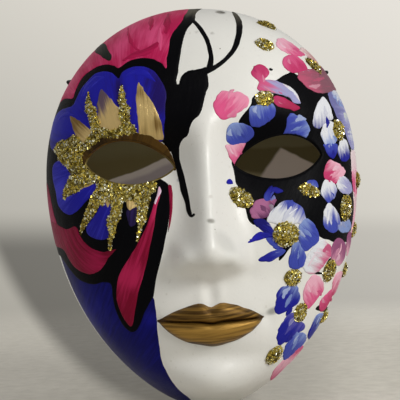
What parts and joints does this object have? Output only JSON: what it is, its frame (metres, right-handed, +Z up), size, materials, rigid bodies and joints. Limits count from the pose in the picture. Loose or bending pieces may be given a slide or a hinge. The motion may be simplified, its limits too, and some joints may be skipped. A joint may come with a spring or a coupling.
{
  "type": "venetian mask",
  "caption": "Full-face venetian mask, hand painted with a butterfly wing and flowers, with raised glitter, gold lips and a swinging head cord.",
  "frame": {"origin": "middle of the rim's wall at the chin, on the flat back of the rim", "axes": "+Y out of the back of the mask, so it looks along -Y; +Z up; +X to the mask's own left"},
  "size_m": [0.1598, 0.0902, 0.205],
  "materials": {
    "shell": "painted satin white, raw inside",
    "paint": "brushed acrylic paint in blue, crimson, pink, black and white",
    "gold_paint": "brushed metallic gold",
    "glitter": "gold glitter in clear glue",
    "cord": "braided black elastic cord"
  },
  "bodies": {
    "mask": {"face_shell": "shell", "tie_loop_right": "cord", "tie_loop_left": "cord", "tie_loop_knot_right": "cord", "tie_loop_knot_left": "cord", "glitter_dab_forehead_top": "glitter", "glitter_dab_forehead_middle": "glitter", "glitter_dab_forehead_outer": "glitter", "glitter_dab_brow": "glitter", "glitter_dab_temple": "glitter", "glitter_dab_temple_rim": "glitter", "glitter_dab_nose_side": "glitter", "glitter_dab_under_eye": "glitter", "glitter_dab_cheek_upper": "glitter", "glitter_dab_cheek_middle": "glitter", "glitter_dab_cheek_rim": "glitter", "glitter_dab_cheek_outer": "glitter", "glitter_dab_cheek_lower": "glitter", "glitter_dab_jaw_rim": "glitter", "glitter_dab_jaw_upper": "glitter", "glitter_dab_jaw_outer": "glitter", "glitter_dab_jaw_lower": "glitter", "glitter_ray_brow_outer": "glitter", "glitter_ray_brow_middle": "glitter", "glitter_ray_temple_outer": "glitter", "glitter_ray_cheek_corner": "glitter", "glitter_ray_cheek_outer": "glitter", "glitter_ray_cheek_middle": "glitter", "glitter_ray_cheek_inner": "glitter"},
    "head_cord": {"head_elastic": "cord", "elastic_knot_right": "cord", "elastic_knot_left": "cord"}
  },
  "joints": [
    {"name": "cord_swing", "type": "hinge", "parent": "mask", "child": "head_cord", "pos_m": [0, 0.0052, 0.1685], "axis": [1, 0, 0], "range_deg": [0, 150]}
  ]
}
